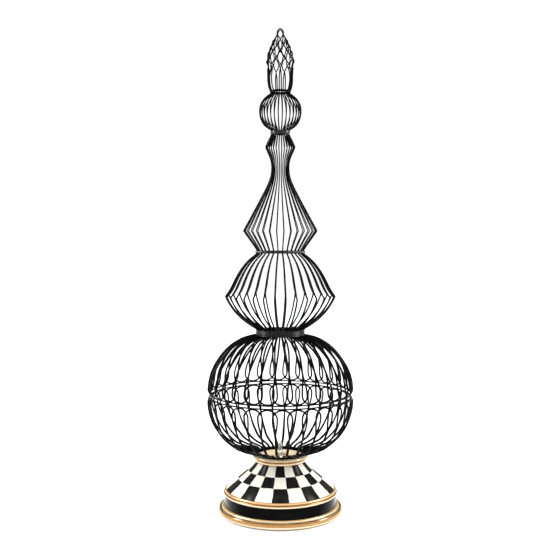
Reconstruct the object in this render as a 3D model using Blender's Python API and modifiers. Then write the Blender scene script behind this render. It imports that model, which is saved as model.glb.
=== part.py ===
"""Wire garden obelisk on an enamelled, checked base.

Two bodies.  The lower one is a turned enamelled base with the lower half of a
wire globe bolted to it.  The upper one is the upper half of the globe with the
whole spire on it: a double-cone cage, a waisted neck cage, a small ball and a
bullet-shaped finial.  The upper body rests on four short studs on the lower
globe's rim and lifts straight off.

Metres, +Z up.  The origin is the centre of the foot's underside.
Azimuth 0 is the front (-Y) and grows towards +X.
"""

import math

import bmesh
import bpy
from mathutils import Matrix, Vector

# ---------------------------------------------------------------- dimensions
MM = 0.001
GAP = 0.3 * MM               # clearance between neighbouring pieces

WIRE = 2.3 * MM              # drawn wire of every cage
WIRES = 32                   # uprights round every cage
PITCH = 2 * math.pi / WIRES
SPIRE_PHASE = math.radians(5.0)     # azimuth of the first upright right of front
GLOBE_PHASE = math.radians(8.0)     # azimuth of the first pair of loop legs

OVERALL = 914 * MM

# base, from the floor up
FOOT_R, FOOT_TOP = 117.5 * MM, 15.7 * MM
DRUM_R, DRUM_TOP = 106.7 * MM, 36.4 * MM
BEAD_R, BEAD_TOP = 108.0 * MM, 46.2 * MM
CONE_FOOT_R, CONE_TOP_R, CONE_TOP = 105.0 * MM, 46.5 * MM, 97.7 * MM
NECK_BEAD_R, NECK_FLANGE_R, NECK_TOP = 49.0 * MM, 53.0 * MM, 112.6 * MM
BASE_WALL = 2.4 * MM
BASE_SIDES = 36

# globe: two superelliptic halves about the equator
EQUATOR_Z = 225.8 * MM
RIM_GAP = 5.8 * MM           # between the centres of the two rim wires
RIM_R = 134.6 * MM
GLOBE_R = 136.6 * MM
GLOBE_RISE, GLOBE_DROP = 117.7 * MM, 113.5 * MM
GLOBE_POWER = 2.3
CROSSING = 9.0 * MM          # height of the loops' crossing above their rim
LEG_PAIR = 4.2 * MM          # two legs side by side, as one bar
BAR = 2.1 * MM               # square bar with about the round wire's area
HOOP = 2.4 * MM              # depth of hoops and rims

# wound collar between the globe and the double cone
COLLAR_R, COLLAR_LOW, COLLAR_HIGH, COLLAR_TURNS = 44.6 * MM, 339.6 * MM, 349.4 * MM, 4
# where the legs turn in to their hoops: (height, radius)
LOWER_ENDS = ((118.4, 50.5), (116.6, 43.2), (111.9, 41.6), (109.5, 41.4))
UPPER_ENDS = ((334.4, 50.5), (336.6, 42.8), (338.6, 41.4), (341.0, 41.2))

# double cone, neck and ball: (height, radius) of the wires' centre line
DIAMOND = ((346.4, 40.9), (353.2, 42.0), (361.6, 62.0), (386.0, 88.4), (413.0, 103.2), (461.0, 75.2),
           (492.6, 43.4))
NECK = ((500.2, 43.4), (536.0, 69.2), (594.0, 38.0), (632.0, 19.9), (656.0, 16.3),
        (693.5, 27.3), (715.4, 16.8))
BALL = ((725.8, 17.2), (738.5, 34.0), (760.0, 39.0), (782.0, 33.0), (793.0, 18.2))

# finial: (height, radius), plain uprights first and then crossing rows
FINIAL_COLUMNS = 12
FINIAL_UPRIGHTS = ((799.2, 18.2), (806.0, 21.6), (818.0, 23.0), (836.0, 23.2))
FINIAL_ROWS = ((847.5, 26.4), (858.0, 25.2), (868.5, 23.6), (879.0, 20.4), (889.5, 15.8),
               (899.0, 10.6))
TIP_TOP = 912.85 * MM        # centre line of the hairpin over the tip

# fixing on the axis
STUD_R, STUD_LOW, STUD_HIGH = 4.0 * MM, 84.0 * MM, 132.0 * MM
NUT_BORE = (STUD_R + GAP) / math.cos(math.radians(30))     # a six-sided bore that clears the stud
REST_STUDS = (45.0, 135.0, 225.0, 315.0)     # azimuths, degrees


# ------------------------------------------------------------------- helpers
def clear_scene():
    for obj in list(bpy.data.objects):
        bpy.data.objects.remove(obj, do_unlink=True)


def collection(name):
    found = bpy.data.collections.new(name)
    bpy.context.scene.collection.children.link(found)
    return found


def material(name, color, roughness, metallic=0.0, coat=0.0):
    made = bpy.data.materials.new(name)
    made.use_nodes = True
    shader = made.node_tree.nodes["Principled BSDF"]
    shader.inputs["Base Color"].default_value = (*color, 1.0)
    shader.inputs["Roughness"].default_value = roughness
    shader.inputs["Metallic"].default_value = metallic
    shader.inputs["Coat Weight"].default_value = coat
    made.diffuse_color = (*color, 1.0)
    return made


def place(name, mesh, group, finish, smooth_angle=None):
    obj = bpy.data.objects.new(name, mesh)
    group.objects.link(obj)
    mesh.materials.append(finish)
    if smooth_angle is not None:
        mesh.shade_smooth()
        mesh.set_sharp_from_angle(angle=math.radians(smooth_angle))
    return obj


def at(azimuth, radius, height):
    """A point by azimuth from the front, radius from the axis and height."""
    return Vector((radius * math.sin(azimuth), -radius * math.cos(azimuth), height))


def turned(name, profile, group, finish, sides=BASE_SIDES, smooth_angle=35):
    """A ring turned from a closed (radius, height) outline in metres, listed down its outer side."""
    mesh = bpy.data.meshes.new(name)
    bm = bmesh.new()
    points = [bm.verts.new((r, 0.0, z)) for r, z in profile]
    for i, point in enumerate(points):
        bm.edges.new((point, points[(i + 1) % len(points)]))
    bm.to_mesh(mesh)
    bm.free()
    obj = place(name, mesh, group, finish, smooth_angle)
    screw = obj.modifiers.new("turn", "SCREW")
    screw.axis = "Z"
    screw.angle = 2 * math.pi
    screw.steps = screw.render_steps = sides
    screw.use_merge_vertices = True
    screw.merge_threshold = 0.00001
    screw.use_smooth_shade = True
    return obj


def drawn(name, lines, radius, closed=False, rounds=0):
    """Drawn wires through lists of points, as one mesh of closed tubes with four sides, or more with rounds."""
    curve = bpy.data.curves.new(name, "CURVE")
    curve.dimensions = "3D"
    curve.bevel_depth = radius
    curve.bevel_resolution = rounds
    curve.use_fill_caps = True
    for points in lines:
        spline = curve.splines.new("POLY")
        spline.points.add(len(points) - 1)
        for point, co in zip(spline.points, points):
            point.co = (*co, 1.0)
        spline.use_cyclic_u = closed
    guide = bpy.data.objects.new(name, curve)
    bpy.context.scene.collection.objects.link(guide)
    bpy.context.view_layer.update()
    graph = bpy.context.evaluated_depsgraph_get()
    mesh = bpy.data.meshes.new_from_object(guide.evaluated_get(graph))
    mesh.name = name
    bm = bmesh.new()
    bm.from_mesh(mesh)
    bmesh.ops.remove_doubles(bm, verts=bm.verts, dist=0.00001)
    bmesh.ops.recalc_face_normals(bm, faces=bm.faces)
    bm.to_mesh(mesh)
    bm.free()
    mesh.materials.clear()
    bpy.data.objects.remove(guide, do_unlink=True)
    return mesh


class Sheet:
    """A sheet of bars: an open surface made of strips, with openings between them, given its thickness by Solidify."""

    def __init__(self):
        self.bm = bmesh.new()
        self.points = {}

    def point(self, azimuth, radius, height):
        co = at(azimuth, radius, height)
        key = tuple(round(value, 7) for value in co)
        if key not in self.points:
            self.points[key] = self.bm.verts.new(co)
        return self.points[key]

    def face(self, *points):
        self.bm.faces.new(points)

    def finish(self, name, thickness, group, finish):
        bmesh.ops.recalc_face_normals(self.bm, faces=self.bm.faces)
        mesh = bpy.data.meshes.new(name)
        self.bm.to_mesh(mesh)
        self.bm.free()
        obj = place(name, mesh, group, finish)
        shell = obj.modifiers.new("bar", "SOLIDIFY")
        shell.thickness = thickness
        shell.offset = 0.0
        shell.use_even_offset = True
        return obj


def circle(radius, height, sides=WIRES, turn=0.0):
    return [at(turn + 2 * math.pi * k / sides, radius, height) for k in range(sides)]


def banded(profile):
    """The profile with a row added a hoop's depth in from each end."""
    def inward(end, following):
        run = math.hypot(following[0] - end[0], following[1] - end[1])
        share = HOOP / MM / run
        return (end[0] + (following[0] - end[0]) * share, end[1] + (following[1] - end[1]) * share)

    return [profile[0], inward(profile[0], profile[1]), *profile[1:-1], inward(profile[-1], profile[-2]), profile[-1]]


def upright_cage(name, profile, phase, group, finish):
    """Uprights bent to one profile, 32 round, with a hoop at each end."""
    rows = [(z * MM, r * MM) for z, r in banded(profile)]
    sheet = Sheet()

    def side(k, row, way):
        z, r = rows[row]
        return sheet.point(phase + k * PITCH + way * BAR / 2 / r, r, z)

    for k in range(WIRES):
        for row in range(len(rows) - 1):
            sheet.face(side(k, row, -1), side(k, row, 1), side(k, row + 1, 1), side(k, row + 1, -1))
            if row in (0, len(rows) - 2):
                sheet.face(side(k, row, 1), side(k + 1, row, -1), side(k + 1, row + 1, -1), side(k, row + 1, 1))
    return sheet.finish(name, BAR, group, finish)


def globe_radius(rise, reach):
    return GLOBE_R * max(0.0, 1 - (rise / reach) ** GLOBE_POWER) ** (1 / GLOBE_POWER)


def globe_half(name, up, reach, ends, group, finish):
    """A rim, loops that stand on it and cross their neighbours, and pairs of legs drawn in to a hoop."""
    sheet = Sheet()
    rim_low, rim_high = RIM_GAP / 2 - HOOP / 2, RIM_GAP / 2 + HOOP / 2
    crossing = CROSSING + RIM_GAP / 2
    rises = (crossing + 2.0 * MM, 36 * MM, 64 * MM, 88 * MM)
    legs = [(rise, globe_radius(rise, reach)) for rise in rises]
    legs += [(abs(z * MM - EQUATOR_Z), r * MM) for z, r in ends]

    def point(azimuth, radius, rise):
        return sheet.point(azimuth, radius, EQUATOR_Z + up * rise)

    for k in range(WIRES):
        middle = GLOBE_PHASE + k * PITCH
        foot = PITCH / 2 - BAR / RIM_R
        rim = [(middle + turn, RIM_R) for turn in (-foot, foot, PITCH / 2, PITCH - foot)]
        low = [point(a, r, rim_low) for a, r in rim]
        high = [point(a, r, rim_high) for a, r in rim]
        for i in range(3):
            sheet.face(low[i], low[i + 1], high[i + 1], high[i])
        half = LEG_PAIR / 2 / GLOBE_R
        across = globe_radius(crossing, reach)
        under = point(middle, across, crossing - 1.6 * MM)
        sides = {way: point(middle + way * half, across, crossing + 0.4 * MM) for way in (-1, 1)}
        before = point(middle - PITCH / 2, RIM_R, rim_high)
        left_foot = point(middle - foot, RIM_R, rim_high)
        sheet.face(high[1], high[2], sides[1], under)
        sheet.face(before, left_foot, under, sides[-1])

        def leg(i, way):
            rise, radius = legs[i]
            return point(middle + way * LEG_PAIR / 2 / radius, radius, rise)

        sheet.face(under, sides[1], leg(0, 1), leg(0, -1), sides[-1])
        for i in range(len(legs) - 1):
            sheet.face(leg(i, -1), leg(i, 1), leg(i + 1, 1), leg(i + 1, -1))
        i = len(legs) - 2
        near, far = (point(middle + PITCH - LEG_PAIR / 2 / legs[j][1], legs[j][1], legs[j][0]) for j in (i, i + 1))
        sheet.face(leg(i, 1), near, far, leg(i + 1, 1))
    return sheet.finish(name, BAR, group, finish)


def finial_cage(name, group, finish):
    """Uprights on a hoop that part into a net of crossing wires, which closes in a hoop under the tip."""
    sheet = Sheet()
    step = 2 * math.pi / FINIAL_COLUMNS
    bar = BAR * 0.9
    rows = [(z * MM, r * MM) for z, r in banded(FINIAL_UPRIGHTS)[:-2]]
    rows.append((FINIAL_UPRIGHTS[-1][0] * MM, FINIAL_UPRIGHTS[-1][1] * MM))

    def side(k, row, way):
        z, r = rows[row]
        return sheet.point(k * step + way * bar / 2 / r, r, z)

    def knot(i, k):
        """The four corners of a crossing: below, right, above, left."""
        z, r = (value * MM for value in FINIAL_ROWS[i])
        azimuth = (k + 0.5 * ((i + 1) % 2)) * step
        return [sheet.point(azimuth, r, z - bar * 0.7), sheet.point(azimuth + bar * 0.7 / r, r, z),
                sheet.point(azimuth, r, z + bar * 0.7), sheet.point(azimuth - bar * 0.7 / r, r, z)]

    for k in range(FINIAL_COLUMNS):
        for row in range(len(rows) - 1):
            sheet.face(side(k, row, -1), side(k, row, 1), side(k, row + 1, 1), side(k, row + 1, -1))
        sheet.face(side(k, 0, 1), side(k + 1, 0, -1), side(k + 1, 1, -1), side(k, 1, 1))
        # the head of the upright parts to the two crossings above it
        z, r = rows[-1]
        fork = sheet.point(k * step, r, z + bar)
        last = len(rows) - 1
        right, left = knot(0, k), knot(0, k - 1)
        sheet.face(side(k, last, -1), side(k, last, 1), fork)
        sheet.face(side(k, last, 1), right[0], right[3], fork)
        sheet.face(left[0], side(k, last, -1), fork, left[1])
        for i in range(len(FINIAL_ROWS)):
            here = knot(i, k)
            sheet.face(*here)
            if i + 1 < len(FINIAL_ROWS):
                shift = 1 if i % 2 == 0 else 0
                right, left = knot(i + 1, k + shift), knot(i + 1, k + shift - 1)
                sheet.face(here[1], right[0], right[3], here[2])
                sheet.face(here[2], left[1], left[0], here[3])
        # crown hoop
        top, after = knot(len(FINIAL_ROWS) - 1, k), knot(len(FINIAL_ROWS) - 1, k + 1)
        sheet.face(top[1], after[3], after[2], top[2])
    return sheet.finish(name, bar, group, finish)


def hoop(name, radius, height, thick, group, finish, sides=32):
    """A plain round wire ring."""
    return place(name, drawn(name, [circle(radius, height, sides)], thick / 2, closed=True), group, finish)


def prism(name, radius, low, high, sides, group, finish, bore=0.0, chamfer=0.0, turn=0.0):
    """A round or hexagonal piece on the axis, with an optional bore and chamfered ends."""
    if bore:
        outer = [(radius, high), (radius, low)]
        if chamfer:
            outer = [(radius - chamfer, high), (radius, high - chamfer), (radius, low + chamfer),
                     (radius - chamfer, low)]
        obj = turned(name, [*outer, (bore, low), (bore, high)], group, finish, sides, 30)
        obj.rotation_euler.z = turn
        return obj
    mesh = bpy.data.meshes.new(name)
    bm = bmesh.new()
    bmesh.ops.create_cone(bm, cap_ends=True, cap_tris=False, segments=sides, radius1=radius, radius2=radius,
                          depth=high - low, matrix=Matrix.Translation((0, 0, (low + high) / 2)))
    if chamfer:
        rims = [e for e in bm.edges if abs(e.verts[0].co.z - e.verts[1].co.z) < 1e-7]
        bmesh.ops.bevel(bm, geom=rims, offset=chamfer, segments=1, affect="EDGES")
    bm.to_mesh(mesh)
    bm.free()
    return place(name, mesh, group, finish, 30)


# --------------------------------------------------------------------- model
def build_base(group, paint):
    wall = BASE_WALL
    # the torus foot with a small fillet bead on it
    foot = [(FOOT_R - 8.0 * MM, FOOT_TOP), (FOOT_R - 6.3 * MM, FOOT_TOP - 1.9 * MM),
            (FOOT_R - 7.0 * MM, FOOT_TOP - 3.6 * MM), (FOOT_R - 2.2 * MM, 11.2 * MM), (FOOT_R, 6.6 * MM),
            (FOOT_R - 1.4 * MM, 2.2 * MM), (FOOT_R - 4.0 * MM, 0.0), (FOOT_R - 15.5 * MM, 0.0),
            (FOOT_R - 15.5 * MM, FOOT_TOP)]
    turned("foot_moulding", foot, group, paint["gold"])
    low, high = FOOT_TOP + GAP, DRUM_TOP
    turned("drum_band", [(DRUM_R, high), (DRUM_R, low), (DRUM_R - wall, low), (DRUM_R - wall, high)],
           group, paint["black_enamel"])
    low, high = DRUM_TOP + GAP, BEAD_TOP
    mid = (low + high) / 2
    turned("middle_bead", [(BEAD_R - 3.2 * MM, high), (BEAD_R - 0.7 * MM, high - 2.0 * MM), (BEAD_R, mid),
                           (BEAD_R - 0.7 * MM, low + 2.0 * MM), (BEAD_R - 3.2 * MM, low),
                           (BEAD_R - 7.0 * MM, low), (BEAD_R - 7.0 * MM, high)],
           group, paint["gold"])
    # the cone: hollow in the top third, swelling a little at the foot, with a floor that the stud passes through
    low, high = BEAD_TOP + GAP, CONE_TOP
    rise = high - low

    def cone(t):
        straight = CONE_FOOT_R + (CONE_TOP_R - CONE_FOOT_R) * t
        return straight - 5.0 * MM * math.sin(math.pi * t) * t

    outer = [(cone(t), low + rise * t) for t in (1.0, 0.9, 0.72, 0.5, 0.28, 0.0)]
    inner = [(cone(t) - wall, low + rise * t) for t in (0.0, 0.3, 0.6)]
    floor = high - 3.0 * MM
    turned("check_cone", [*outer, *inner, (CONE_TOP_R - 0.5 * MM, floor), (STUD_R + 0.5 * MM, floor),
                          (STUD_R + 0.5 * MM, high)], group, paint["check_enamel"])
    low, high = CONE_TOP + GAP, NECK_TOP
    turned("neck_moulding", [(NECK_FLANGE_R - 2.0 * MM, high), (NECK_FLANGE_R, high - 2.4 * MM),
                             (NECK_FLANGE_R - 2.6 * MM, high - 6.2 * MM), (NECK_BEAD_R - 0.7 * MM, high - 8.8 * MM),
                             (NECK_BEAD_R, low + 3.0 * MM), (NECK_BEAD_R - 1.6 * MM, low),
                             (STUD_R + 0.5 * MM, low), (STUD_R + 0.5 * MM, low + 5.0 * MM),
                             (46.7 * MM, low + 5.0 * MM), (46.7 * MM, high)],
           group, paint["gold"])


def build_fixing(group, paint):
    low = CONE_TOP + GAP + 5.0 * MM + GAP
    # the lower cage stands on this plate, which the stud and its nut hold down in the neck
    plate_top = low + 5.6 * MM
    turned("cage_plate", [(43.6 * MM, plate_top), (43.6 * MM, low), (STUD_R + 0.5 * MM, low),
                          (STUD_R + 0.5 * MM, plate_top)], group, paint["gold"], 32)
    prism("threaded_stud", STUD_R, STUD_LOW, STUD_HIGH, 12, group, paint["zinc"], chamfer=0.8 * MM)
    washer = plate_top + GAP
    prism("top_washer", 9.0 * MM, washer, washer + 1.6 * MM, 20, group, paint["zinc"], bore=STUD_R + GAP)
    nut = washer + 1.6 * MM + GAP
    prism("top_nut", 7.5 * MM, nut, nut + 6.4 * MM, 6, group, paint["zinc"], bore=NUT_BORE, chamfer=0.6 * MM,
          turn=math.radians(30))
    under = CONE_TOP - 3.0 * MM - GAP
    prism("under_washer", 11.0 * MM, under - 1.6 * MM, under, 20, group, paint["zinc"], bore=STUD_R + GAP)
    nut = under - 1.6 * MM - GAP
    prism("under_nut", 7.5 * MM, nut - 6.4 * MM, nut, 6, group, paint["zinc"], bore=NUT_BORE, chamfer=0.6 * MM,
          turn=math.radians(30))


def build_globe(group, paint):
    globe_half("lower_globe_cage", -1, GLOBE_DROP, LOWER_ENDS, group, paint["wire"])
    globe_half("upper_globe_cage", +1, GLOBE_RISE, UPPER_ENDS, group, paint["wire"])
    turned("neck_hoop", [(45.8 * MM, 114.8 * MM), (45.8 * MM, 103.4 * MM), (44.4 * MM, 103.4 * MM),
                         (44.4 * MM, 114.8 * MM)], group, paint["wire"])
    low = EQUATOR_Z - RIM_GAP / 2 + HOOP / 2 + GAP
    high = EQUATOR_Z + RIM_GAP / 2 - HOOP / 2 - GAP
    for degrees in REST_STUDS:
        azimuth = math.radians(degrees)
        names = {45.0: "front_right", 135.0: "back_right", 225.0: "back_left", 315.0: "front_left"}
        mesh = bpy.data.meshes.new("rest_stud_" + names[degrees])
        bm = bmesh.new()
        bmesh.ops.create_cone(bm, cap_ends=True, segments=8, radius1=1.9 * MM, radius2=1.9 * MM, depth=high - low)
        bm.to_mesh(mesh)
        bm.free()
        stud = place(mesh.name, mesh, group, paint["wire"], 30)
        stud.location = at(azimuth, RIM_R, (low + high) / 2)


def build_spire(group, paint):
    turns = COLLAR_TURNS
    rise = (COLLAR_HIGH - COLLAR_LOW) / turns
    points = []
    per_turn = 20
    for i in range(turns * per_turn + 1):
        t = i / per_turn
        points.append(at(2 * math.pi * t, COLLAR_R, COLLAR_LOW + rise * t))
    place("globe_collar", drawn("globe_collar", [points], rise / 2 * 0.9), group, paint["wire"])
    upright_cage("double_cone_cage", DIAMOND, SPIRE_PHASE, group, paint["wire"])
    hoop("shoulder_binding", 44.3 * MM, 496.4 * MM, 2.6 * MM, group, paint["wire"])
    upright_cage("neck_cage", NECK, SPIRE_PHASE, group, paint["wire"])
    prism("ball_collar", 18.6 * MM, 717.6 * MM, 723.4 * MM, 24, group, paint["wire"], bore=14.6 * MM)
    upright_cage("ball_cage", BALL, SPIRE_PHASE, group, paint["wire"])
    hoop("finial_ring", 18.4 * MM, 796.4 * MM, 2.2 * MM, group, paint["wire"], 24)
    finial_cage("finial_cage", group, paint["wire"])
    # the hairpin over the tip stands just inside the crown
    half = ((893.0, 7.6), (901.0, 7.3), (906.5, 6.0), (910.6, 3.6), (912.4, 1.4))
    sides = [[(way * r * MM, 0.0, z * MM) for z, r in half] for way in (1, -1)]
    top = [(0.0, 0.0, TIP_TOP)]
    mesh = drawn("tip_hairpin", [sides[0] + top + sides[1][::-1]], WIRE / 2, rounds=1)
    place("tip_hairpin", mesh, group, paint["wire"], 60)


def main():
    clear_scene()
    parts = collection("garden_obelisk")
    paint = {
        "wire": material("black_wire", (0.012, 0.012, 0.013), 0.28, coat=0.3),
        "black_enamel": material("black_enamel", (0.010, 0.010, 0.012), 0.12, coat=0.6),
        "check_enamel": material("check_enamel", (0.83, 0.80, 0.72), 0.18, coat=0.6),
        "gold": material("gold_enamel", (0.80, 0.56, 0.26), 0.25, coat=0.5),
        "zinc": material("zinc_steel", (0.62, 0.63, 0.64), 0.35, metallic=1.0),
    }
    build_base(parts, paint)
    build_fixing(parts, paint)
    build_globe(parts, paint)
    build_spire(parts, paint)


main()
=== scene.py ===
import math

import bmesh
import bpy
import numpy as np
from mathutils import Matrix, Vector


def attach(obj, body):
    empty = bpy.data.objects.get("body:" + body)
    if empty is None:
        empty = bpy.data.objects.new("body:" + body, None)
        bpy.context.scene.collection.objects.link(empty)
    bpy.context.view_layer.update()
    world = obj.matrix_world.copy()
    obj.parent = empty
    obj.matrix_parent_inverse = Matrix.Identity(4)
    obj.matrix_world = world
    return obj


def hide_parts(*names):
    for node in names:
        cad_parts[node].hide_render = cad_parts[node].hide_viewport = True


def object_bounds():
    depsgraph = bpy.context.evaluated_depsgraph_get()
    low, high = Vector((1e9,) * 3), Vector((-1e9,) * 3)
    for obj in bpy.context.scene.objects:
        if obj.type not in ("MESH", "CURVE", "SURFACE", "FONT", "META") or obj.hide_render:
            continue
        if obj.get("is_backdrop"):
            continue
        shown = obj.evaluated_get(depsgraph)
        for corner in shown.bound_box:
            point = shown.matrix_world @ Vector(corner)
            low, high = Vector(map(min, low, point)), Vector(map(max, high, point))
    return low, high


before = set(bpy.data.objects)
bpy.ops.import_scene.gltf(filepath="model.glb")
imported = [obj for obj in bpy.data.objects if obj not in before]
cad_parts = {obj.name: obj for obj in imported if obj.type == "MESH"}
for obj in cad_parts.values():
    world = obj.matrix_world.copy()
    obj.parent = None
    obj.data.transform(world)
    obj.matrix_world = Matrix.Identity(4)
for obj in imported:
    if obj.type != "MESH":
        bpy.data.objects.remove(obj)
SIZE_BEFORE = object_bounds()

# Metres, +Z up, the frame's own axes.  Azimuth 0 is the front (-Y), growing towards +X.
WIRE_R = 0.00125
N = 32
PITCH = 2 * math.pi / N
SPIRE_PHASE = math.radians(5.625)
LOOP_PHASE = math.radians(1.6)
EQUATOR_Z = 0.2258
RIM_Z = (0.2287, 0.2229)
RIM_R = 0.13435


# ------------------------------------------------------------------ geometry
def at(azimuth, radius, height):
    return np.array((radius * math.sin(azimuth), -radius * math.cos(azimuth), height))


def smooth_path(points, per=6, closed=False):
    """A centripetal-free Catmull-Rom line through the points."""
    p = np.asarray(points, float)
    n = len(p)
    out = []
    spans = n if closed else n - 1
    for i in range(spans):
        if closed:
            a, b, c, d = (p[(i + j) % n] for j in (-1, 0, 1, 2))
        else:
            b, c = p[i], p[i + 1]
            a = p[i - 1] if i else 2 * b - c
            d = p[i + 2] if i + 2 < n else 2 * c - b
        for j in range(per):
            t = j / per
            out.append(0.5 * (2 * b + (c - a) * t + (2 * a - 5 * b + 4 * c - d) * t * t
                              + (3 * b - a - 3 * c + d) * t ** 3))
    if not closed:
        out.append(p[-1])
    return np.array(out)


class Tubes:
    """Round wires gathered into one mesh, each a closed tube swept with a steady frame."""

    def __init__(self):
        self.verts, self.faces = [], []

    def add(self, path, radius=WIRE_R, closed=False, sides=10, caps=True):
        path = np.asarray(path, float)
        n = len(path)
        if closed:
            tangent = np.roll(path, -1, 0) - np.roll(path, 1, 0)
        else:
            tangent = np.gradient(path, axis=0)
        tangent /= np.linalg.norm(tangent, axis=1)[:, None] + 1e-12
        start = np.array((0.0, 0.0, 1.0)) if abs(tangent[0][2]) < 0.9 else np.array((1.0, 0.0, 0.0))
        normal = np.cross(tangent[0], start)
        normal /= np.linalg.norm(normal)
        normals = [normal]
        for i in range(1, n):
            v = normals[-1] - tangent[i] * np.dot(normals[-1], tangent[i])
            normals.append(v / (np.linalg.norm(v) + 1e-12))
        if closed:
            # spread the twist that the frame gained in going round
            v = normals[-1] - tangent[0] * np.dot(normals[-1], tangent[0])
            v /= np.linalg.norm(v)
            angle = math.atan2(np.dot(np.cross(normals[0], v), tangent[0]), np.dot(normals[0], v))
            for i in range(n):
                a = -angle * i / n
                side = np.cross(tangent[i], normals[i])
                normals[i] = normals[i] * math.cos(a) + side * math.sin(a)
        radii = np.full(n, radius) if np.isscalar(radius) else np.asarray(radius)
        base = len(self.verts)
        for i in range(n):
            side = np.cross(tangent[i], normals[i])
            for k in range(sides):
                a = 2 * math.pi * k / sides
                self.verts.append(path[i] + radii[i] * (normals[i] * math.cos(a) + side * math.sin(a)))
        last = n if closed else n - 1
        for i in range(last):
            j = (i + 1) % n
            for k in range(sides):
                m = (k + 1) % sides
                self.faces.append((base + i * sides + k, base + i * sides + m, base + j * sides + m,
                                   base + j * sides + k))
        if not closed and caps:
            self.faces.append(tuple(base + k for k in range(sides))[::-1])
            self.faces.append(tuple(base + (n - 1) * sides + k for k in range(sides)))

    def make(self, name, material):
        mesh = bpy.data.meshes.new(name)
        mesh.from_pydata([tuple(v) for v in self.verts], [], self.faces)
        mesh.update()
        return place(name, mesh, material)


def place(name, mesh, material, smooth=True):
    bm = bmesh.new()
    bm.from_mesh(mesh)
    bmesh.ops.recalc_face_normals(bm, faces=bm.faces)
    bm.to_mesh(mesh)
    bm.free()
    obj = bpy.data.objects.new(name, mesh)
    bpy.context.scene.collection.objects.link(obj)
    mesh.materials.append(material)
    if smooth:
        mesh.shade_smooth()
        mesh.set_sharp_from_angle(angle=math.radians(40))
    return obj


def lathe(name, profile, material, steps=144, sharp=40):
    """A ring turned from a closed (radius, height) outline in metres."""
    verts, faces = [], []
    n = len(profile)
    for k in range(steps):
        a = 2 * math.pi * k / steps
        verts += [tuple(at(a, r, z)) for r, z in profile]
    for k in range(steps):
        m = (k + 1) % steps
        for i in range(n):
            j = (i + 1) % n
            faces.append((k * n + i, k * n + j, m * n + j, m * n + i))
    mesh = bpy.data.meshes.new(name)
    mesh.from_pydata(verts, [], faces)
    mesh.update()
    obj = place(name, mesh, material)
    mesh.set_sharp_from_angle(angle=math.radians(sharp))
    return obj


def arc(cx, cz, radius, start, end, steps):
    """Points of an arc in the (radius, height) plane, angles in degrees from +r, anticlockwise."""
    return [(cx + radius * math.cos(math.radians(start + (end - start) * i / steps)),
             cz + radius * math.sin(math.radians(start + (end - start) * i / steps))) for i in range(steps + 1)]


def profile_path(profile, azimuth, per=5, corner=()):
    """An upright bent to a (height, radius) profile in mm: smooth runs between the corners."""
    runs, run = [], [profile[0]]
    for i in range(1, len(profile)):
        run.append(profile[i])
        if i in corner or i == len(profile) - 1:
            runs.append(run)
            run = [profile[i]]
    line = []
    for piece in runs:
        flat = smooth_path([(z, r, 0.0) for z, r in piece], per)
        line += [tuple(q[:2]) for q in (flat if piece is runs[-1] else flat[:-1])]
    return line


def new_material(name):
    made = bpy.data.materials.new(name)
    made.use_nodes = True
    tree = made.node_tree
    for node in list(tree.nodes):
        tree.nodes.remove(node)
    out = tree.nodes.new("ShaderNodeOutputMaterial")
    shader = tree.nodes.new("ShaderNodeBsdfPrincipled")
    tree.links.new(shader.outputs["BSDF"], out.inputs["Surface"])
    return made, tree, shader


def node(tree, kind, **values):
    made = tree.nodes.new(kind)
    for key, value in values.items():
        if key.startswith("in_"):
            made.inputs[int(key[3:]) if key[3:].isdigit() else key[3:].replace("_", " ")].default_value = value
        else:
            setattr(made, key, value)
    return made


def ramp(tree, source, stops, interpolation="LINEAR"):
    made = tree.nodes.new("ShaderNodeValToRGB")
    made.color_ramp.interpolation = interpolation
    while len(made.color_ramp.elements) < len(stops):
        made.color_ramp.elements.new(0.5)
    for element, (pos, color) in zip(made.color_ramp.elements, stops):
        element.position = pos
        element.color = (*color, 1.0) if len(color) == 3 else color
    tree.links.new(source, made.inputs["Fac"])
    return made.outputs["Color"]


def noise(tree, vector, scale, detail=2.0, rough=0.5, distort=0.0):
    made = node(tree, "ShaderNodeTexNoise")
    made.inputs["Scale"].default_value = scale
    made.inputs["Detail"].default_value = detail
    made.inputs["Roughness"].default_value = rough
    made.inputs["Distortion"].default_value = distort
    tree.links.new(vector, made.inputs["Vector"])
    return made.outputs["Fac"]


def mapped(tree, vector, scale=(1, 1, 1)):
    made = tree.nodes.new("ShaderNodeMapping")
    made.inputs["Scale"].default_value = scale
    tree.links.new(vector, made.inputs["Vector"])
    return made.outputs["Vector"]


def math_node(tree, operation, a, b=None, clamp=False):
    made = tree.nodes.new("ShaderNodeMath")
    made.operation = operation
    made.use_clamp = clamp
    for i, value in enumerate((a, b)):
        if value is None:
            continue
        if isinstance(value, (int, float)):
            made.inputs[i].default_value = value
        else:
            tree.links.new(value, made.inputs[i])
    return made.outputs[0]


def mix_color(tree, factor, a, b):
    made = tree.nodes.new("ShaderNodeMix")
    made.data_type = "RGBA"
    if isinstance(factor, (int, float)):
        made.inputs["Factor"].default_value = factor
    else:
        tree.links.new(factor, made.inputs["Factor"])
    for slot, value in ((6, a), (7, b)):
        if isinstance(value, tuple):
            made.inputs[slot].default_value = (*value, 1.0)
        else:
            tree.links.new(value, made.inputs[slot])
    return made.outputs[2]


def bump(tree, shader, height, strength, distance):
    made = tree.nodes.new("ShaderNodeBump")
    made.inputs["Strength"].default_value = strength
    made.inputs["Distance"].default_value = distance
    tree.links.new(height, made.inputs["Height"])
    tree.links.new(made.outputs["Normal"], shader.inputs["Normal"])


def coordinates(tree):
    return tree.nodes.new("ShaderNodeTexCoord").outputs["Object"]


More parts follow.
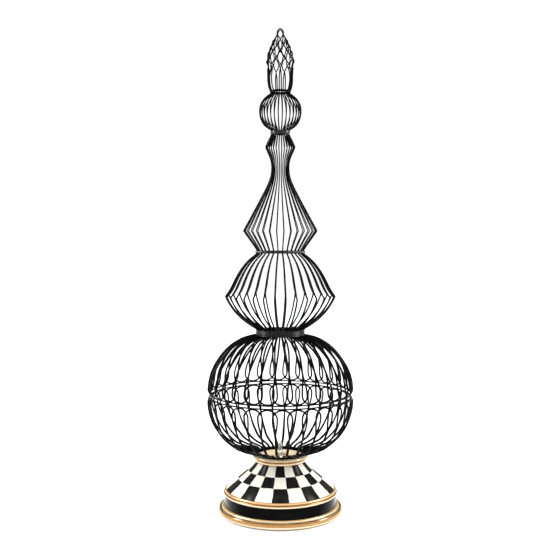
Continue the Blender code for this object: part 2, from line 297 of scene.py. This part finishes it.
def turn_coordinates(tree):
    """Azimuth (turns, 0 at the front), height (m) and radius (m) of the shading point."""
    place_ = coordinates(tree)
    split = tree.nodes.new("ShaderNodeSeparateXYZ")
    tree.links.new(place_, split.inputs[0])
    x, y, z = split.outputs
    back = math_node(tree, "MULTIPLY", y, -1.0)
    angle = math_node(tree, "ARCTAN2", x, back)
    turns = math_node(tree, "DIVIDE", angle, 2 * math.pi)
    radius = math_node(tree, "SQRT", math_node(tree, "ADD", math_node(tree, "MULTIPLY", x, x),
                                               math_node(tree, "MULTIPLY", y, y)))
    return place_, turns, z, radius


def combine(tree, x, y, z):
    made = tree.nodes.new("ShaderNodeCombineXYZ")
    for i, value in enumerate((x, y, z)):
        if isinstance(value, (int, float)):
            made.inputs[i].default_value = value
        else:
            tree.links.new(value, made.inputs[i])
    return made.outputs[0]


def black_wire(name="black_wire_paint", shine=0.035, matt=(0.16, 0.34)):
    """Gloss black paint on drawn wire: slightly thicker and thinner coats, dust in the matt patches."""
    made, tree, shader = new_material(name)
    where = coordinates(tree)
    broad = noise(tree, where, 90.0, 3.0, 0.55)
    fine = noise(tree, where, 900.0, 4.0, 0.6)
    color = ramp(tree, broad, ((0.3, (0.0008, 0.0008, 0.001)), (0.62, (0.002, 0.002, 0.0022)),
                               (0.85, (0.006, 0.0057, 0.0055))))
    tree.links.new(color, shader.inputs["Base Color"])
    tree.links.new(ramp(tree, fine, ((0.25, (matt[0],) * 3), (0.8, (matt[1],) * 3))), shader.inputs["Roughness"])
    shader.inputs["Specular IOR Level"].default_value = shine
    bump(tree, shader, fine, 0.12, 0.0002)
    return made


def black_enamel():
    """Gloss black enamel on a turned band, brushed round it."""
    made, tree, shader = new_material("black_enamel_paint")
    where, turns, z, radius = turn_coordinates(tree)
    streak = noise(tree, combine(tree, math_node(tree, "MULTIPLY", turns, 14.0),
                                 math_node(tree, "MULTIPLY", z, 900.0), 0.0), 1.0, 4.0, 0.6)
    cloud = noise(tree, where, 30.0, 3.0, 0.55)
    tone = math_node(tree, "MULTIPLY", streak, cloud)
    tree.links.new(ramp(tree, tone, ((0.12, (0.0008, 0.0008, 0.001)), (0.3, (0.002, 0.002, 0.0022)),
                                     (0.55, (0.014, 0.014, 0.0135)))), shader.inputs["Base Color"])
    tree.links.new(ramp(tree, streak, ((0.3, (0.10,) * 3), (0.75, (0.26,) * 3))), shader.inputs["Roughness"])
    shader.inputs["Specular IOR Level"].default_value = 0.03
    bump(tree, shader, streak, 0.10, 0.0004)
    return made


CHECK_ROWS = (0.0658, 0.0815)


def check_enamel():
    """Hand-laid black and cream checks: twenty columns, three rows, with brush marks down the slope."""
    made, tree, shader = new_material("check_enamel_paint")
    where, turns, z, radius = turn_coordinates(tree)
    # the edges wander a little, as painted ones do
    wobble = math_node(tree, "SUBTRACT", noise(tree, where, 46.0, 2.0, 0.5), 0.5)
    wobble2 = math_node(tree, "SUBTRACT", noise(tree, mapped(tree, where, (1.3, 1.1, 1.7)), 60.0, 2.0, 0.5), 0.5)
    column = math_node(tree, "ADD", math_node(tree, "MULTIPLY", turns, 20.0), 20.5)
    column = math_node(tree, "ADD", column, math_node(tree, "MULTIPLY", wobble, 0.16))
    odd_column = math_node(tree, "FLOORED_MODULO", math_node(tree, "FLOOR", column), 2.0)
    height = math_node(tree, "ADD", z, math_node(tree, "MULTIPLY", wobble2, 0.0014))
    middle = math_node(tree, "MULTIPLY", math_node(tree, "GREATER_THAN", height, CHECK_ROWS[0]),
                       math_node(tree, "LESS_THAN", height, CHECK_ROWS[1]))
    # column 20 (front) is black in the top and bottom rows and cream in the middle
    cream = math_node(tree, "ABSOLUTE", math_node(tree, "SUBTRACT", odd_column, middle))
    # brush marks that run down the slope
    brush = noise(tree, combine(tree, math_node(tree, "MULTIPLY", turns, 420.0),
                                math_node(tree, "MULTIPLY", z, 34.0), 0.0), 1.0, 5.0, 0.62)
    cloud = noise(tree, where, 34.0, 3.0, 0.6)
    light = mix_color(tree, ramp(tree, brush, ((0.32, (0.0,) * 3), (0.72, (1.0,) * 3))),
                      (0.62, 0.58, 0.50), (0.84, 0.82, 0.76))
    light = mix_color(tree, ramp(tree, cloud, ((0.4, (0.0,) * 3), (0.75, (0.45,) * 3))), light, (0.60, 0.54, 0.43))
    dark = mix_color(tree, ramp(tree, brush, ((0.42, (0.0,) * 3), (0.78, (1.0,) * 3))),
                     (0.0012, 0.0012, 0.0012), (0.026, 0.026, 0.023))
    dark = mix_color(tree, ramp(tree, cloud, ((0.5, (0.0,) * 3), (0.8, (0.5,) * 3))), dark, (0.028, 0.027, 0.02))
    tree.links.new(mix_color(tree, cream, dark, light), shader.inputs["Base Color"])
    tree.links.new(ramp(tree, brush, ((0.3, (0.12,) * 3), (0.8, (0.26,) * 3))), shader.inputs["Roughness"])
    shader.inputs["Specular IOR Level"].default_value = 0.045
    relief = math_node(tree, "ADD", math_node(tree, "MULTIPLY", brush, 0.6), math_node(tree, "MULTIPLY", cream, 0.5))
    bump(tree, shader, relief, 0.10, 0.0003)
    return made


def gold_enamel(name="gold_enamel_paint", metal=0.45, lit_copy=0.0):
    """Gold lustre brushed on mouldings, with painted shade darkening the grooves and painted highlights on the crests.
    """
    made, tree, shader = new_material(name)
    where, turns, z, radius = turn_coordinates(tree)
    streak = noise(tree, combine(tree, math_node(tree, "MULTIPLY", turns, 22.0),
                                 math_node(tree, "MULTIPLY", z, 1100.0),
                                 math_node(tree, "MULTIPLY", radius, 700.0)), 1.0, 4.0, 0.6)
    cloud = noise(tree, where, 60.0, 3.0, 0.6)
    tone = math_node(tree, "ADD", math_node(tree, "MULTIPLY", streak, 0.7), math_node(tree, "MULTIPLY", cloud, 0.3))
    # a lighter copy of the gold for the plate: its extra brightness is a painted highlight for the light on its top
    # face
    if lit_copy:
        color = ramp(tree, tone, ((0.25, (0.72, 0.50, 0.26)), (0.5, (0.93, 0.75, 0.48)), (0.75, (1.0, 0.90, 0.70))))
    else:
        # the lustre is banded by height: painted shade darkens the grooves and painted cream highlights light the
        # crests, over the gold's own colour
        wander = math_node(tree, "MULTIPLY", math_node(tree, "SUBTRACT", cloud, 0.5), 0.0010)
        share = math_node(tree, "DIVIDE", math_node(tree, "ADD", z, wander), 0.120)
        cream, pale_gold, mid, dark, groove_shade = ((0.95, 0.82, 0.58), (0.84, 0.62, 0.32), (0.62, 0.345, 0.105),
                                               (0.34, 0.135, 0.028), (0.055, 0.02, 0.006))
        # bands by height in mm: the cream and pale gold bands are painted highlights, the darkest bands painted shade
        levels = ((0.0, groove_shade), (1.6, dark), (2.6, pale_gold), (4.0, cream), (5.4, cream), (6.2, dark),
                  (6.9, dark), (7.7, mid), (9.6, mid), (10.7, dark), (11.4, groove_shade), (12.3, pale_gold),
                  (13.4, cream), (15.2, pale_gold), (36.8, dark), (37.7, cream), (39.9, cream), (40.8, dark),
                  (42.5, dark), (43.5, mid), (45.1, pale_gold), (46.2, mid), (98.2, dark), (100.0, pale_gold),
                  (102.0, cream), (103.4, pale_gold), (104.4, groove_shade), (105.8, dark), (107.6, mid),
                  (109.6, cream), (111.6, cream), (112.6, pale_gold))
        painted_light_by_height = ramp(tree, share, [(level / 120.0, color) for level, color in levels])
        rubbed = ramp(tree, tone, ((0.25, (0.62, 0.55, 0.47)), (0.5, (0.92, 0.90, 0.88)), (0.75, (1.0, 1.0, 1.0))))
        blend = tree.nodes.new("ShaderNodeMix")
        blend.data_type, blend.blend_type = "RGBA", "MULTIPLY"
        blend.inputs["Factor"].default_value = 1.0
        tree.links.new(painted_light_by_height, blend.inputs[6])
        tree.links.new(rubbed, blend.inputs[7])
        color = blend.outputs[2]
    tree.links.new(color, shader.inputs["Base Color"])
    tree.links.new(ramp(tree, cloud, ((0.3, (0.14,) * 3), (0.75, (0.26,) * 3))), shader.inputs["Roughness"])
    shader.inputs["Metallic"].default_value = metal
    shader.inputs["Coat Weight"].default_value = 0.4
    shader.inputs["Coat Roughness"].default_value = 0.06
    bump(tree, shader, streak, 0.10, 0.0003)
    return made


def zinc_steel():
    """Bright zinc on the fixing, dulled in patches."""
    made, tree, shader = new_material("zinc_plate")
    where = coordinates(tree)
    spangle = noise(tree, where, 420.0, 3.0, 0.6)
    tree.links.new(ramp(tree, spangle, ((0.3, (0.42, 0.43, 0.42)), (0.7, (0.72, 0.73, 0.73)))),
                   shader.inputs["Base Color"])
    tree.links.new(ramp(tree, spangle, ((0.3, (0.22,) * 3), (0.8, (0.42,) * 3))), shader.inputs["Roughness"])
    shader.inputs["Metallic"].default_value = 1.0
    bump(tree, shader, spangle, 0.08, 0.0002)
    return made




def edge_gloss(material, low, high, most):
    """A clear coat that only shows where the surface turns away, so that the front stays deep black."""
    tree = material.node_tree
    shader = next(n for n in tree.nodes if n.type == "BSDF_PRINCIPLED")
    facing = tree.nodes.new("ShaderNodeLayerWeight")
    facing.inputs["Blend"].default_value = 0.5
    tree.links.new(ramp(tree, facing.outputs["Facing"], ((low, (0.0,) * 3), (high, (most,) * 3))),
                   shader.inputs["Coat Weight"])
    shader.inputs["Coat Roughness"].default_value = 0.06


WIRE_PAINT = black_wire()
BLACK = black_enamel()
CHECKS = check_enamel()
edge_gloss(BLACK, 0.35, 0.85, 0.8)
edge_gloss(CHECKS, 0.45, 0.9, 0.5)
GOLD = gold_enamel()
# the plate's paint is the gold set lighter, a painted highlight standing in for the light on its top
PLATE = gold_enamel("gold_plate_paint", 0.0, 0.55)
WINDING = black_wire("black_winding_paint", 0.5, (0.22, 0.34))
ZINC = zinc_steel()


# ---------------------------------------------------------------- wire cages
def spread(rise, up):
    """Half the width of a loop, in degrees of azimuth, by its height above the globe's equator in mm."""
    if rise < 19.7:
        t = max(0.0, (rise - 4.6) / 15.1)
        return 7.4 * math.sqrt(max(0.0, 1 - (1 - t) ** 2))
    table = [(19.7, 7.4), (26.0, 7.38), (33.0, 7.1), (40.0, 6.6), (47.0, 6.1), (54.0, 5.75), (60.0, 5.6)]
    # above the globe the legs part to stand evenly at the collar; below it they stay in pairs
    table += ([(70.0, 5.1), (82.0, 4.35), (93.0, 3.75), (104.0, 3.2), (112.0, 2.9), (118.0, 2.8125)]
              if up > 0 else [(70.0, 5.45), (82.0, 5.3), (104.0, 4.95), (114.0, 4.6)])
    return np.interp(rise, [t[0] for t in table], [t[1] for t in table])


# (height, radius) in mm of the legs' centre line, from the rim to the hoop that holds them
GLOBE_UPPER = ((230.4, 134.7), (233.5, 135.9), (238, 136.4), (245, 135.8), (252.7, 134.7), (260.4, 132.9),
               (268, 130.6), (275.7, 127.5), (283.4, 123.8), (291, 119.0), (298.7, 113.5), (306.3, 107.3),
               (314, 99.9), (321.6, 90.6), (329.2, 78.1), (333.1, 69.0), (336.3, 56.5), (338.4, 46.8), (341.5, 43.4),
               (346.0, 43.0))
GLOBE_LOWER = ((221.2, 134.7), (218, 136.2), (214, 136.7), (206.6, 136.4), (198.9, 135.4), (191.2, 133.7),
               (183.5, 131.6), (175.7, 129.0), (168, 125.6), (160.3, 121.0), (152.6, 115.6), (144.9, 109.0),
               (137.1, 100.5), (129.4, 91.0), (124.6, 79.6), (121.4, 67.5), (119.4, 56.0), (117.2, 48.0),
               (113.2, 44.1), (106.0, 43.6))


def globe_half(name, up, profile, body):
    tubes = Tubes()
    line = smooth_path([(z, r, 0.0) for z, r in profile], 4)[:, :2]
    rises = np.abs(line[:, 0] - EQUATOR_Z * 1000)
    # more points where the hairpin turns at the rim
    turn = 1 - np.cos(np.linspace(0, math.pi / 2, 16))
    fine = np.concatenate([4.6 + 15.1 * turn, rises[rises > 20.5]])
    order = np.argsort(rises)
    heights = EQUATOR_Z * 1000 + up * fine
    radii = np.interp(fine, rises[order], line[order, 1])
    widths = np.radians([float(spread(rise, up)) for rise in fine])
    # one leg of each loop passes outside its neighbour's
    pass_over = 0.00075 * np.clip((fine - 5.5) / 4.0, 0, 1) * np.clip((66.0 - fine) / 30.0, 0, 1)
    for k in range(N):
        middle = LOOP_PHASE + k * PITCH
        right = [at(middle + w, r / 1000 + o, z / 1000) for w, r, z, o in zip(widths, radii, heights, pass_over)]
        left = [at(middle - w, r / 1000 - o, z / 1000) for w, r, z, o in zip(widths, radii, heights, pass_over)]
        tubes.add(left[::-1] + right[1:], 0.00168, sides=8)
    rim_z = RIM_Z[0] if up > 0 else RIM_Z[1]
    tubes.add([at(2 * math.pi * i / 256, RIM_R, rim_z) for i in range(256)], 0.00135, closed=True, sides=10)
    made = tubes.make(name, WIRE_PAINT)
    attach(made, body)
    return made


lower = globe_half("lower_globe_wires", -1, GLOBE_LOWER, "lower_part")
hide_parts("lower_globe_cage")
upper = globe_half("upper_globe_wires", 1, GLOBE_UPPER, "upper_part")
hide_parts("upper_globe_cage")


def uprights(name, profile, corner, replaced, ends=(), wire=0.0012):
    """Thirty-two round uprights on one profile, with any plain hoops that hold their ends."""
    line = profile_path(profile, 0.0, 4, corner)
    tubes = Tubes()
    for k in range(N):
        a = SPIRE_PHASE + k * PITCH
        tubes.add([at(a, r / 1000, z / 1000) for z, r in line], wire, sides=8)
    for r, z, thick in ends:
        tubes.add([at(2 * math.pi * i / 128, r / 1000, z / 1000) for i in range(128)], thick / 2000, closed=True,
                  sides=10)
    made = tubes.make(name, WIRE_PAINT)
    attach(made, "upper_part")
    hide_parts(replaced)
    return made


DIAMOND = ((345.0, 42.4), (349.0, 43.0), (352.6, 47.8), (359.8, 59.2), (367.4, 69.4), (375.0, 77.8), (382.6, 84.9),
           (390.2, 90.8), (397.8, 95.8), (405.4, 100.2), (413.0, 103.5), (418.0, 99.6), (424.4, 95.3), (432.0, 91.2),
           (439.6, 87.5), (447.2, 83.6), (454.8, 79.4), (462.4, 74.6), (469.9, 69.1), (477.5, 62.6),
           (485.1, 54.6), (490.0, 48.2), (494.0, 43.6))
uprights("double_cone_wires", DIAMOND, (10,), "double_cone_cage", wire=0.00158)

NECK = ((498.6, 43.6), (504.0, 46.9), (511.5, 52.0), (519.1, 57.4), (526.6, 62.8), (532.0, 66.4), (536.0, 69.3),
        (540.5, 67.2), (549.2, 62.4), (560.5, 56.2), (571.8, 50.2), (583.1, 44.0), (594.3, 38.0), (601.9, 34.1),
        (609.4, 30.1), (616.9, 26.3), (624.4, 22.9), (631.9, 19.9), (639.3, 17.8), (646.8, 16.6), (654.3, 16.2),
        (661.8, 16.6), (669.3, 18.0), (676.7, 20.6), (684.2, 24.0), (690.0, 26.4), (693.5, 27.5), (698.0, 25.6),
        (702.9, 23.4), (710.3, 19.6), (716.5, 16.9))
uprights("neck_wires", NECK, (6, 26), "neck_cage", wire=0.00105)

BALL = ((723.6, 16.6), (726.2, 19.0), (729.0, 23.6), (732.6, 28.3), (736.4, 31.8), (743.8, 35.8), (751.3, 38.1),
        (758.7, 38.9), (766.1, 38.4), (773.6, 36.2), (781.0, 31.6), (784.7, 28.3), (788.4, 23.8), (792.1, 18.6),
        (794.6, 16.6))
uprights("ball_wires", BALL, (), "ball_cage", wire=0.0011)


def wound(name, replaced, radius, low, high, turns, thick):
    """Wire wound tight round a joint, its ends tucked under the last turn."""
    tubes = Tubes()
    steps = int(turns * 64)
    path = []
    for i in range(steps + 1):
        t = i / steps
        tuck = 0.0012 * (max(0.0, 0.02 - t) + max(0.0, t - 0.98)) / 0.02
        path.append(at(2 * math.pi * turns * t + 2.6, radius - tuck, low + (high - low) * t))
    tubes.add(path, thick / 2, sides=12)
    made = tubes.make(name, WINDING)
    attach(made, "upper_part")
    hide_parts(replaced)
    return made


wound("globe_collar_winding", "globe_collar", 0.04525, 0.3386, 0.3502, 5.0, 0.0024)
wound("ball_collar_winding", "ball_collar", 0.0174, 0.7177, 0.7234, 3.0, 0.0021)

# the rope-like binding: two wires laid round each other on a hoop
tubes = Tubes()
for strand in (0.0, math.pi):
    path = []
    count = 640
    for i in range(count):
        a = 2 * math.pi * i / count
        lay = strand + 44 * a
        path.append(at(a, 0.0451 + 0.00085 * math.cos(lay), 0.4964 + 0.00125 * math.sin(lay)))
    tubes.add(path, 0.00125, closed=True, sides=8)
binding = tubes.make("shoulder_binding_rope", WINDING)
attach(binding, "upper_part")
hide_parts("shoulder_binding")

# ---------------------------------------------------------------- the finial
FINIAL_OUTLINE = ((796.4, 18.0), (799.0, 18.6), (803.2, 20.6), (810.6, 22.0), (818.1, 22.7), (829.0, 22.9),
                  (840.2, 23.2), (847.6, 24.6), (851.3, 25.6), (858.7, 24.5), (866.1, 22.6), (873.5, 20.3),
                  (880.9, 17.6), (888.2, 14.2), (895.6, 9.6), (900.0, 7.2))
# rows of crossings; every other row stands on the odd half columns
FINIAL_ROWS = (837.5, 852.8, 866.6, 878.5, 890.3)
FINIAL_COLUMNS = 9
FINIAL_WIRE = 0.00110


def finial_radius(z):
    return float(np.interp(z, [p[0] for p in FINIAL_OUTLINE], [p[1] for p in FINIAL_OUTLINE]))


tubes = Tubes()
half_step = math.pi / FINIAL_COLUMNS
rest_rows = np.array(FINIAL_ROWS)
for k in range(FINIAL_COLUMNS):
    foot_azimuth = 2 * k * half_step
    # the legs beside the front and back pairs lean out towards the sides
    across = math.sin(foot_azimuth) * math.cos(foot_azimuth)
    bunch = math.radians(13.0) * (1 if across > 0.4 else -1 if across < -0.4 else 0)
    for way in (-1, 1):
        path = []
        for z in np.concatenate([np.linspace(796.4, 830.0, 14), np.linspace(832.0, 890.8, 72)]):
            radius = finial_radius(z)
            row = float(np.interp(z, rest_rows, range(len(rest_rows))))
            lean = 0.0
            if z < FINIAL_ROWS[0]:
                # the two legs that cross here come down side by side
                down = (FINIAL_ROWS[0] - z) / 20.0
                lean = bunch * math.sin(min(down, 1.0) * math.pi / 2)
                lead = -math.sin(min(down, 1.0) * math.pi / 2) * 0.0019 / (radius / 1000)
            else:
                # between crossings a leg bows, as a sprung wire does
                part = row % 1.0
                lead = half_step * (row + 0.10 * math.sin(2 * math.pi * part))
            bulge = 0.8 * math.sin(math.pi * (row % 1.0)) if z > FINIAL_ROWS[0] else 0.0
            over = 0.8 * way * math.cos(math.pi * row)
            path.append(at(foot_azimuth + lean + way * lead, (radius - bulge + over) / 1000, z / 1000))
        tubes.add(path, FINIAL_WIRE, sides=8)


def net_node(column, row_z, out=0.0):
    return at(column * half_step, (finial_radius(row_z) + out) / 1000, row_z / 1000)


def bent(points, per=6):
    return smooth_path([np.asarray(p, float) for p in points], per)


# side wires, and a second hairpin behind, that close the net under the tip
for side in (-1, 1):
    tubes.add(bent((net_node(side * 3.7, 889.0), (side * 0.0070, -0.0016, 0.8993), (side * 0.0061, -0.0012, 0.9035))),
              FINIAL_WIRE, sides=8)
    tubes.add(bent((net_node(side * 5, 887.5), net_node(side * 5.2, 890.3), (side * 0.0066, 0.0006, 0.8993), (side * 0.0058, -0.0004, 0.9040))),
              FINIAL_WIRE, sides=8)
back = [net_node(8, 890.3), (0.0048, 0.0052, 0.9000), (0.0038, 0.0022, 0.9070), (0.0, 0.0012, 0.9105)]
tubes.add(bent(back + [(-p[0], p[1], p[2]) for p in back[-2::-1]]), FINIAL_WIRE, sides=8)
finial = tubes.make("finial_net", WIRE_PAINT)
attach(finial, "upper_part")
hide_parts("finial_cage")

# the hairpin that stands highest, its legs crossing at the front
tubes = Tubes()
front = [net_node(0.35, 886.6, 0.7), net_node(0.0, 890.3, 0.9), (-0.0030, -0.0085, 0.8966), (-0.0058, -0.0040, 0.9024),
         (-0.0056, -0.0014, 0.9072), (-0.0034, -0.0004, 0.9111), (0.0, 0.0, 0.9131)]
tubes.add(bent(front + [(-p[0], p[1], p[2]) for p in front[-2::-1]]), 0.00108, sides=10)
tip = tubes.make("tip_hairpin_wire", WIRE_PAINT)
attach(tip, "upper_part")
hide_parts("tip_hairpin")

tubes = Tubes()
for z in (795.3, 797.4):
    tubes.add([at(2 * math.pi * i / 96, 0.0186, z / 1000) for i in range(96)], 0.00108, closed=True, sides=10)
ring = tubes.make("finial_ring_wire", WIRE_PAINT)
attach(ring, "upper_part")
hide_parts("finial_ring")


# ------------------------------------------------------------- turned base
def base_piece(name, profile, material, replaced, sharp=40):
    made = lathe(name, [(r / 1000, z / 1000) for r, z in profile], material, 160, sharp)
    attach(made, "lower_part")
    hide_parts(replaced)
    return made


foot = (arc(109.4, 13.3, 2.4, 90, -50, 10) + arc(110.9, 6.9, 7.2, 42, -62, 16)
        + [(112.0, 0.0), (103.0, 0.0), (102.0, 1.0), (102.0, 15.7)])
base_piece("foot_turned", foot, GOLD, "foot_moulding")
base_piece("drum_turned", [(106.7, 36.1), (106.9, 34.0), (106.9, 18.0), (106.7, 16.0), (104.3, 16.0), (104.3, 36.1)],
           BLACK, "drum_band")
bead = (arc(104.2, 43.7, 2.4, 88, -38, 8) + arc(106.1, 39.4, 2.6, 48, -88, 10)
        + [(101.0, 36.8), (101.0, 46.1)])
base_piece("middle_bead_turned", bead, GOLD, "middle_bead")


def cone(t):
    return 103.0 - 56.5 * t - 4.6 * math.sin(math.pi * t) * t


outer = [(cone(t), 46.5 + 51.2 * t) for t in np.linspace(1, 0, 25)]
inner = [(cone(t) - 2.4, 46.5 + 51.2 * t) for t in np.linspace(0, 0.6, 9)]
base_piece("check_cone_turned", outer + inner + [(46.0, 94.7), (4.5, 94.7), (4.5, 97.7)], CHECKS, "check_cone")
neck = ([(46.7, 111.0)] + arc(51.0, 108.0, 2.6, 95, -40, 10) + [(50.4, 105.2), (48.5, 104.3)]
        + arc(46.0, 101.1, 3.1, 55, -80, 10) + [(4.5, 98.0), (4.5, 103.0), (46.7, 103.0)])
base_piece("neck_turned", neck, GOLD, "neck_moulding")

# carried-over nodes keep the frame's own shape
for name, paint in (("cage_plate", PLATE), ("threaded_stud", ZINC), ("top_washer", ZINC), ("top_nut", ZINC),
                    ("under_washer", ZINC), ("under_nut", ZINC), ("neck_hoop", WIRE_PAINT),
                    ("rest_stud_front_right", WIRE_PAINT), ("rest_stud_back_right", WIRE_PAINT),
                    ("rest_stud_back_left", WIRE_PAINT), ("rest_stud_front_left", WIRE_PAINT)):
    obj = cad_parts[name]
    if len(obj.material_slots) == 0:
        obj.data.materials.append(paint)
    for slot in obj.material_slots:
        slot.link = "OBJECT"
        slot.material = paint

# ------------------------------------------------------------ studio
def pale(name, color, roughness=0.9):
    made, tree, shader = new_material(name)
    where = coordinates(tree)
    grain = noise(tree, where, 3.0, 2.0, 0.5)
    low = tuple(c * 0.985 for c in color)
    tree.links.new(ramp(tree, grain, ((0.3, low), (0.7, color))), shader.inputs["Base Color"])
    shader.inputs["Roughness"].default_value = roughness
    shader.inputs["Specular IOR Level"].default_value = 0.1
    # the floor paint glows a little, though it is no lamp: a painted light
    shader.inputs["Emission Color"].default_value = (1.0, 1.0, 1.0, 1.0)
    shader.inputs["Emission Strength"].default_value = 0.22
    return made


FLOOR = pale("studio_floor_paint", (0.70, 0.70, 0.70))
# a painted glow in the floor strengthens with distance from the object, so that the floor's far edge doesn't show as a
# grey strip
floor_tree = FLOOR.node_tree
place_on_floor = floor_tree.nodes.new("ShaderNodeNewGeometry")
distance = floor_tree.nodes.new("ShaderNodeVectorMath")
distance.operation = "LENGTH"
floor_tree.links.new(place_on_floor.outputs["Position"], distance.inputs[0])
glow = ramp(floor_tree, math_node(floor_tree, "DIVIDE", distance.outputs["Value"], 6.0),
            ((0.10, (0.28,) * 3), (0.30, (0.62,) * 3), (0.60, (1.0,) * 3)))
floor_shader = next(n for n in floor_tree.nodes if n.type == "BSDF_PRINCIPLED")
floor_tree.links.new(glow, floor_shader.inputs["Emission Strength"])
mesh = bpy.data.meshes.new("studio_floor")
mesh.from_pydata([(-6, -6, 0), (6, -6, 0), (6, 6, 0), (-6, 6, 0)], [], [(0, 1, 2, 3)])
floor = bpy.data.objects.new("studio_floor", mesh)
bpy.context.scene.collection.objects.link(floor)
floor.location.z = -0.0004
mesh.materials.append(FLOOR)
floor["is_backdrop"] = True

world = bpy.data.worlds.new("studio")
bpy.context.scene.world = world
world.use_nodes = True
sky = world.node_tree
# a white sweep behind the object, and a dimmer room for it to reflect
sky.nodes.clear()
out = sky.nodes.new("ShaderNodeOutputWorld")
paths = sky.nodes.new("ShaderNodeLightPath")
seen, room = sky.nodes.new("ShaderNodeBackground"), sky.nodes.new("ShaderNodeBackground")
seen.inputs["Strength"].default_value = 1.05
seen.inputs["Color"].default_value = (1.0, 1.0, 1.0, 1.0)
room.inputs["Strength"].default_value = 0.42
direction = sky.nodes.new("ShaderNodeTexCoord")
parts = sky.nodes.new("ShaderNodeSeparateXYZ")
sky.links.new(direction.outputs["Generated"], parts.inputs[0])
wide = sky.nodes.new("ShaderNodeMath")
wide.operation = "ABSOLUTE"
sky.links.new(parts.outputs["X"], wide.inputs[0])
glow = sky.nodes.new("ShaderNodeValToRGB")
for element, (pos, level) in zip(glow.color_ramp.elements, ((0.25, 0.28), (0.95, 1.6))):
    element.position, element.color = pos, (level, level, level, 1.0)
sky.links.new(wide.outputs[0], glow.inputs["Fac"])
sky.links.new(glow.outputs["Color"], room.inputs["Color"])
either = sky.nodes.new("ShaderNodeMixShader")
sky.links.new(paths.outputs["Is Camera Ray"], either.inputs["Fac"])
sky.links.new(room.outputs[0], either.inputs[1])
sky.links.new(seen.outputs[0], either.inputs[2])
sky.links.new(either.outputs[0], out.inputs["Surface"])


def area(name, location, target, size, size_y, energy, color=(1.0, 1.0, 1.0)):
    data = bpy.data.lights.new(name, "AREA")
    data.shape = "RECTANGLE"
    data.size, data.size_y = size, size_y
    data.energy = energy
    data.color = color
    obj = bpy.data.objects.new(name, data)
    bpy.context.scene.collection.objects.link(obj)
    from mathutils import Vector
    obj.location = location
    way = Vector(target) - Vector(location)
    obj.rotation_euler = way.to_track_quat("-Z", "Y").to_euler()
    return obj


area("softbox_left", (-1.40, 0.10, 1.25), (0, 0, 0.2), 0.30, 0.9, 40)
area("softbox_right", (1.40, 0.10, 1.25), (0, 0, 0.2), 0.30, 0.9, 40)
sun_data = bpy.data.lights.new("overhead_diffuser", "SUN")
sun_data.energy = 1.9
sun_data.angle = math.radians(95)
sun = bpy.data.objects.new("overhead_diffuser", sun_data)
bpy.context.scene.collection.objects.link(sun)
sun.rotation_euler = (math.radians(24), math.radians(4), 0)

bpy.context.scene.view_settings.view_transform = "Standard"

camera_data = bpy.data.cameras.new("camera")
camera_data.sensor_width = 36.0
camera_data.lens = 870.0 / 560.0 * 36.0
camera = bpy.data.objects.new("camera", camera_data)
bpy.context.scene.collection.objects.link(camera)
camera.location = (-0.0006, -1.64482, 0.52961)
camera.rotation_euler = (math.radians(90 - 3.0), 0.0, 0.0)
bpy.context.scene.camera = camera



def plain(value):
    return value if isinstance(value, (str, int, float)) else (
        {str(k): plain(v) for k, v in value.items()} if isinstance(value, dict) else [plain(v) for v in value])


{"before": plain(SIZE_BEFORE), "after": plain(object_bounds())}
